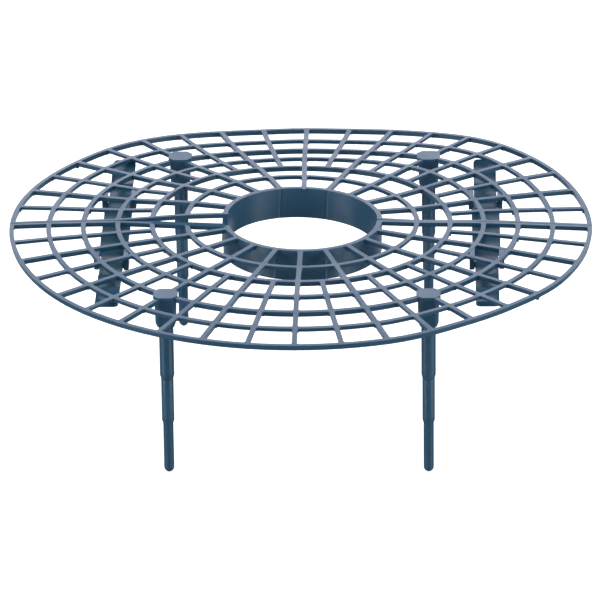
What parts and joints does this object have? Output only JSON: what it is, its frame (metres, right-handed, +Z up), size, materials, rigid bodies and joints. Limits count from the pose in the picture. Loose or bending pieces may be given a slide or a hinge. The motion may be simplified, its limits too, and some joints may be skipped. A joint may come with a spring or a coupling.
{
  "type": "plant support ring",
  "caption": "Round open-grid plant support on plug-in ground legs, split into half trays that slide apart on notched rails, with a collar round the middle opening.",
  "frame": {"origin": "on the ground between the four leg tips, on the axis of the hub", "axes": "+X to the right along the joint of the two halves, +Y to the back, +Z up along the hub axis"},
  "size_m": [0.3, 0.3, 0.1012],
  "materials": {
    "tray_plastic": "satin moulded",
    "rail_plastic": "satin moulded",
    "leg_plastic": "satin moulded"
  },
  "bodies": {
    "rails": {"left_rail": "rail_plastic", "right_rail": "rail_plastic"},
    "back_half": {"back_tray": "tray_plastic"},
    "front_half": {"front_tray": "tray_plastic"},
    "back_left_leg_body": {"back_left_leg": "leg_plastic"},
    "back_right_leg_body": {"back_right_leg": "leg_plastic"},
    "front_left_leg_body": {"front_left_leg": "leg_plastic"},
    "front_right_leg_body": {"front_right_leg": "leg_plastic"}
  },
  "joints": [
    {"name": "back_half_slide", "type": "slide", "parent": "rails", "child": "back_half", "axis": [0, 1, 0], "range_m": [0, 0.068]},
    {"name": "front_half_slide", "type": "slide", "parent": "rails", "child": "front_half", "axis": [0, -1, 0], "range_m": [0, 0.068]},
    {"name": "back_left_leg_pull", "type": "slide", "parent": "back_half", "child": "back_left_leg_body", "axis": [0, 0, -1], "range_m": [0, 0.016]},
    {"name": "back_right_leg_pull", "type": "slide", "parent": "back_half", "child": "back_right_leg_body", "axis": [0, 0, -1], "range_m": [0, 0.016]},
    {"name": "front_left_leg_pull", "type": "slide", "parent": "front_half", "child": "front_left_leg_body", "axis": [0, 0, -1], "range_m": [0, 0.016]},
    {"name": "front_right_leg_pull", "type": "slide", "parent": "front_half", "child": "front_right_leg_body", "axis": [0, 0, -1], "range_m": [0, 0.016]}
  ]
}
